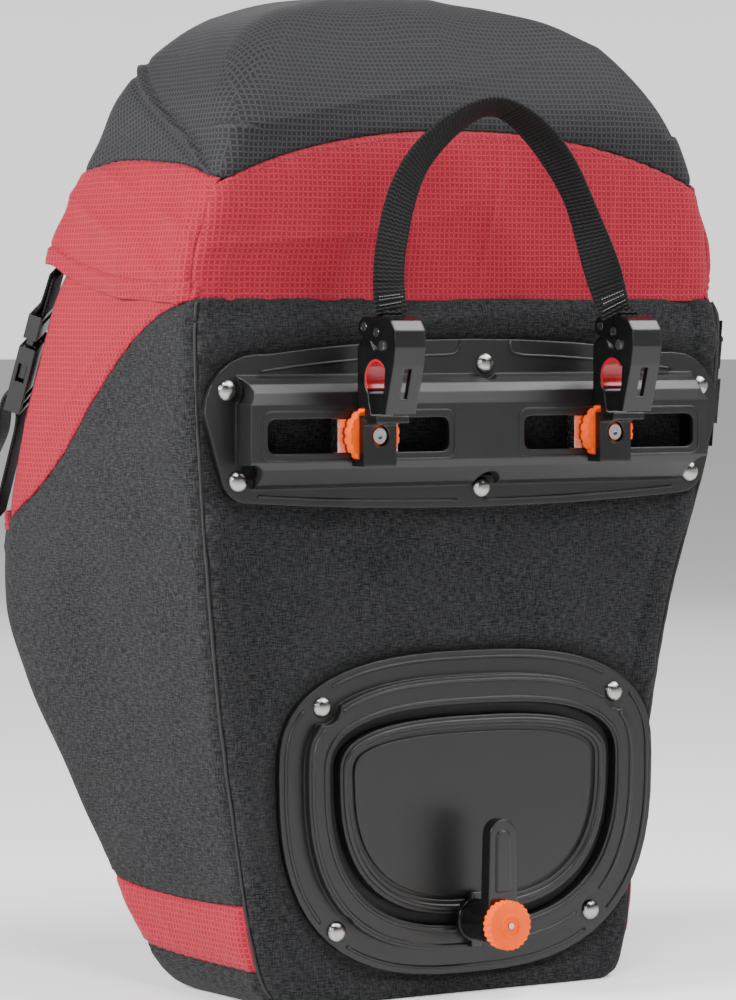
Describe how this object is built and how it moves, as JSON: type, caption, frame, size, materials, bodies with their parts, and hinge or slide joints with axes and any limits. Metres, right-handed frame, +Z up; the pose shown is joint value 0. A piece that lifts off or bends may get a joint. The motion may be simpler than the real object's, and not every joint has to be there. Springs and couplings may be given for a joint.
{
  "type": "bicycle pannier bag",
  "caption": "Rack-side pannier bag with a hinged domed lid, two sliding rail hooks with handle-opened latches, and a swivelling stabiliser arm.",
  "frame": {"origin": "centre of the flat base, where the bag stands", "axes": "+Z up, -Y towards the bicycle rack, +X to the right when looking at the rack side"},
  "size_m": [0.3365, 0.2822, 0.4885],
  "materials": {
    "dark_fabric": "woven polyester, matt",
    "black_fabric": "ripstop polyester, matt",
    "red_fabric": "ripstop polyester, matt",
    "lining_fabric": "thin coated nylon",
    "webbing": "ribbed nylon webbing",
    "cord": "braided elastic cord",
    "board": "pressed sheet",
    "plate_plastic": "fine grain",
    "hook_plastic": "satin glass-filled nylon",
    "red_plastic": "smooth",
    "orange_plastic": "smooth",
    "aluminium": "brushed",
    "rivet_metal": "polished nickel",
    "steel": "zinc plated"
  },
  "bodies": {
    "root": {"back_panel": "dark_fabric", "stiffener_board": "board", "base_panel": "black_fabric", "base_board": "board", "side_panel_left": "dark_fabric", "side_panel_right": "dark_fabric", "side_gusset_left": "red_fabric", "side_gusset_right": "red_fabric", "lower_patch_left": "red_fabric", "lower_patch_right": "red_fabric", "front_panel": "dark_fabric", "front_pocket": "dark_fabric", "pocket_hem": "red_fabric", "collar": "lining_fabric", "collar_cord": "cord", "back_band": "red_fabric", "upper_plate": "plate_plastic", "upper_rivets": "rivet_metal", "lower_plate": "plate_plastic", "lower_rivets": "rivet_metal", "rivet_backers": "rivet_metal", "blank_badge": "plate_plastic", "zip_tape": "webbing", "strap_left": "webbing", "strap_right": "webbing", "buckle_female_left": "hook_plastic", "buckle_female_right": "hook_plastic", "carry_handle": "webbing"},
    "lid": {"lid_top": "black_fabric", "lid_skirt_left": "red_fabric", "lid_skirt_right": "red_fabric", "lid_skirt_front": "red_fabric", "lid_webbing": "webbing", "buckle_male_left": "hook_plastic", "buckle_male_right": "hook_plastic"},
    "zip_slider": {"zip_slider": "hook_plastic"},
    "zip_pull": {"zip_pull": "hook_plastic"},
    "arm_carriage": {"arm_foot": "hook_plastic", "arm_screw": "steel"},
    "stabiliser_arm": {"stabiliser_arm": "hook_plastic"},
    "arm_knob": {"arm_knob": "orange_plastic"},
    "hook_left": {"hook_body_left": "hook_plastic", "rail_insert_left": "red_plastic", "hook_nut_left": "aluminium", "hook_screw_left": "steel", "latch_spring_left": "steel"},
    "wheel_left": {"thumbwheel_left": "orange_plastic"},
    "latch_left": {"latch_left": "hook_plastic", "latch_pins_left": "steel", "strap_end_left": "webbing"},
    "hook_right": {"hook_body_right": "hook_plastic", "rail_insert_right": "red_plastic", "hook_nut_right": "aluminium", "hook_screw_right": "steel", "latch_spring_right": "steel"},
    "wheel_right": {"thumbwheel_right": "orange_plastic"},
    "latch_right": {"latch_right": "hook_plastic", "latch_pins_right": "steel", "strap_end_right": "webbing"}
  },
  "joints": [
    {"name": "lid_hinge", "type": "hinge", "parent": "root", "child": "lid", "pos_m": [0, -0.05, 0.423], "axis": [1, 0, 0], "range_deg": [0, 70], "deforming": ["buckle_male_left", "buckle_male_right"]},
    {"name": "hook_slide_left", "type": "slide", "parent": "root", "child": "hook_left", "axis": [1, 0, 0], "range_m": [-0.025, 0.025]},
    {"name": "wheel_turn_left", "type": "hinge", "parent": "hook_left", "child": "wheel_left", "pos_m": [-0.069, -0.071, 0.27425], "axis": [0, 1, 0], "range_deg": [-180, 180]},
    {"name": "latch_left", "type": "hinge", "parent": "hook_left", "child": "latch_left", "pos_m": [-0.069, -0.0777, 0.3261], "axis": [-1, 0, 0], "range_deg": [0, 35], "stiffness_Nm_per_rad": 0.25, "springref_deg": -8.59, "deforming": ["carry_handle"]},
    {"name": "hook_slide_right", "type": "slide", "parent": "root", "child": "hook_right", "axis": [1, 0, 0], "range_m": [-0.025, 0.025]},
    {"name": "wheel_turn_right", "type": "hinge", "parent": "hook_right", "child": "wheel_right", "pos_m": [0.069, -0.071, 0.27425], "axis": [0, 1, 0], "range_deg": [-180, 180]},
    {"name": "latch_right", "type": "hinge", "parent": "hook_right", "child": "latch_right", "pos_m": [0.069, -0.0777, 0.3261], "axis": [-1, 0, 0], "range_deg": [0, 35], "stiffness_Nm_per_rad": 0.25, "springref_deg": -8.59},
    {"name": "zip_slide", "type": "slide", "parent": "root", "child": "zip_slider", "axis": [-0.1026, 0, -0.9947], "range_m": [0, 0.04]},
    {"name": "zip_pull_swing", "type": "hinge", "parent": "zip_slider", "child": "zip_pull", "pos_m": [0.16601, -0.033, 0.31911], "axis": [0, 1, 0], "range_deg": [-100, 0]},
    {"name": "arm_track", "type": "hinge", "parent": "root", "child": "arm_carriage", "pos_m": [0, -0.0589, 0.267], "axis": [0, -1, 0], "range_deg": [-6, 6]},
    {"name": "arm_swivel", "type": "hinge", "parent": "arm_carriage", "child": "stabiliser_arm", "pos_m": [-0.002, -0.07, 0.037], "axis": [0, -1, 0], "continuous": true},
    {"name": "knob_turn", "type": "hinge", "parent": "arm_carriage", "child": "arm_knob", "pos_m": [-0.002, -0.088, 0.037], "axis": [0, -1, 0], "continuous": true}
  ],
  "couplings": [
    {"joint": "latch_right", "follows": "latch_left", "ratio": 1}
  ]
}
